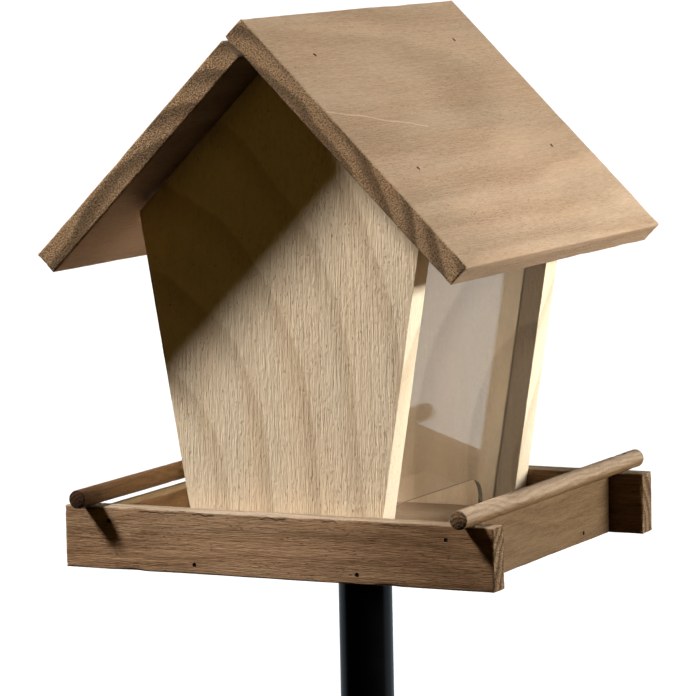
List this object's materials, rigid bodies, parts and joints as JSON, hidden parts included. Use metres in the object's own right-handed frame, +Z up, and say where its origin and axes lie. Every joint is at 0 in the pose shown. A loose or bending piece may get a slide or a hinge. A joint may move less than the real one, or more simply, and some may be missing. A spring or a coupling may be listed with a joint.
{
  "type": "bird feeder on pole",
  "caption": "Gabled wooden bird feeder: clear-sided seed hopper with hinged roof half, tray with seed slots and perch rods, on a plug-together steel pole with ground spike.",
  "frame": {"origin": "ground level on the pole's axis, at the underside of the spike's step plate", "axes": "+Z up along the pole, the ridge along Y with the front gable facing -Y, +X to the right seen from the front; the hinged lid is on the -X side"},
  "size_m": [0.3, 0.308, 1.4104],
  "materials": {
    "stained_pine": "brown stained softwood, matt",
    "perch_wood": "brown stained round rod, matt",
    "pale_wood": "pale planed board, matt",
    "clear_acrylic": "clear acrylic sheet",
    "zinc_steel": "zinc plated",
    "dark_brads": "dark oxidised steel",
    "bare_steel_tube": "drawn steel tube",
    "black_powder_coat": "satin black powder coat"
  },
  "bodies": {
    "stand_and_house": {"tray_floor": "stained_pine", "tray_board_front": "stained_pine", "tray_board_back": "stained_pine", "tray_board_left": "stained_pine", "tray_board_right": "stained_pine", "perch_left": "perch_wood", "perch_right": "perch_wood", "gable_front": "pale_wood", "gable_back": "pale_wood", "roof_board_fixed": "stained_pine", "pane_left": "clear_acrylic", "pane_right": "clear_acrylic", "hinge_leaf_fixed_front": "zinc_steel", "hinge_leaf_fixed_back": "zinc_steel", "hinge_pin_front": "zinc_steel", "hinge_pin_back": "zinc_steel", "hinge_screws_fixed": "zinc_steel", "roof_brads": "dark_brads", "tray_corner_brads": "dark_brads", "tray_floor_brads": "dark_brads", "perch_brads": "dark_brads", "gable_screws": "zinc_steel", "flange_screws": "zinc_steel", "mounting_flange": "black_powder_coat", "pole_section_1": "black_powder_coat", "pole_section_2": "black_powder_coat", "pole_section_3": "black_powder_coat", "pole_sleeve_1": "bare_steel_tube", "pole_sleeve_2": "bare_steel_tube", "sleeve_rivets": "dark_brads", "pole_lock_screws": "zinc_steel", "ground_spike": "black_powder_coat"},
    "lid": {"roof_board_lid": "stained_pine", "hinge_leaf_lid_front": "zinc_steel", "hinge_leaf_lid_back": "zinc_steel", "hinge_screws_lid": "zinc_steel"}
  },
  "joints": [
    {"name": "lid_hinge", "type": "hinge", "parent": "stand_and_house", "child": "lid", "pos_m": [-0.01609, 0, 1.19075], "axis": [0, 1, 0], "range_deg": [0, 175]}
  ]
}
